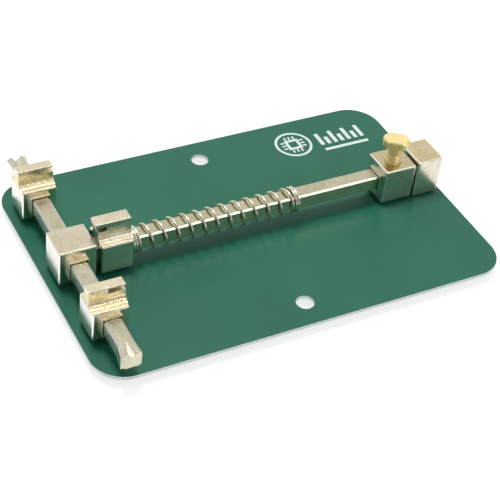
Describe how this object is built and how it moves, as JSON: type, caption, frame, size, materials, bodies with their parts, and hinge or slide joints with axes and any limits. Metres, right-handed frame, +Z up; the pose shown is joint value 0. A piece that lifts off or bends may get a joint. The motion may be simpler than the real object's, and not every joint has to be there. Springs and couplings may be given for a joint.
{
  "type": "pcb holder vise",
  "caption": "Small bench vise for circuit boards: a flat plate carrying a T of square bars with sliding slotted jaws, a coil spring and a thumb-screw lock block.",
  "frame": {"origin": "on the bench under the middle of the plate", "axes": "+X along the main bar from the tee block to the end block, +Y along the cross bar away from the lower jaw, +Z up"},
  "size_m": [0.12, 0.0814, 0.0228],
  "materials": {
    "plate_paint": "satin green coating",
    "foot_rubber": "matt",
    "screw_steel": "zinc plated",
    "nickel_plate": "polished pale nickel plate over brass",
    "jaw_brass": "nickel plate, worn to brass on the milled faces",
    "sleeve_brass": "polished",
    "liner_plastic": "matt",
    "bar_metal": "drawn, pale nickel plate",
    "spring_steel": "bright drawn wire",
    "bare_brass": "turned and polished",
    "pad_plastic": "matt"
  },
  "bodies": {
    "base": {"base_plate": "plate_paint", "rubber_feet": "foot_rubber", "base_screws": "screw_steel", "spacer_washers": "screw_steel", "tee_block": "nickel_plate", "tee_block_sleeve": "sleeve_brass", "tee_block_liner": "liner_plastic", "cross_bar": "bar_metal", "main_bar": "bar_metal", "end_block": "nickel_plate"},
    "upper_jaw": {"upper_jaw": "jaw_brass", "upper_jaw_sleeve": "sleeve_brass", "upper_jaw_liner": "liner_plastic"},
    "lower_jaw": {"lower_jaw": "jaw_brass", "lower_jaw_sleeve": "sleeve_brass", "lower_jaw_liner": "liner_plastic"},
    "clamp_jaw": {"clamp_jaw": "jaw_brass", "clamp_jaw_sleeve": "sleeve_brass", "clamp_jaw_liner": "liner_plastic", "clamp_spring": "spring_steel"},
    "lock_block": {"lock_block": "nickel_plate", "lock_block_sleeve": "sleeve_brass", "lock_block_liner": "liner_plastic"},
    "pressure_pad": {"pressure_pad": "pad_plastic"},
    "thumb_screw": {"thumb_screw": "bare_brass"}
  },
  "joints": [
    {"name": "upper_jaw_slide", "type": "slide", "parent": "base", "child": "upper_jaw", "axis": [0, 1, 0], "range_m": [-0.0165, 0.0044]},
    {"name": "lower_jaw_slide", "type": "slide", "parent": "base", "child": "lower_jaw", "axis": [0, 1, 0], "range_m": [-0.008, 0.0116]},
    {"name": "clamp_jaw_slide", "type": "slide", "parent": "base", "child": "clamp_jaw", "axis": [1, 0, 0], "range_m": [-0.0013, 0.038], "stiffness_N_per_m": 190, "deforming": ["clamp_spring"]},
    {"name": "lock_block_slide", "type": "slide", "parent": "base", "child": "lock_block", "axis": [1, 0, 0], "range_m": [-0.0246, 0.0006]},
    {"name": "pad_lift", "type": "slide", "parent": "lock_block", "child": "pressure_pad", "axis": [0, 0, 1], "range_m": [0, 0.00105]},
    {"name": "thumb_screw_turn", "type": "hinge", "parent": "pressure_pad", "child": "thumb_screw", "pos_m": [0.04445, 0, 0.0152], "axis": [0, 0, 1], "range_deg": [0, 540]}
  ],
  "couplings": [
    {"joint": "thumb_screw_turn", "follows": "pad_lift", "rad_per_m": 8976}
  ]
}
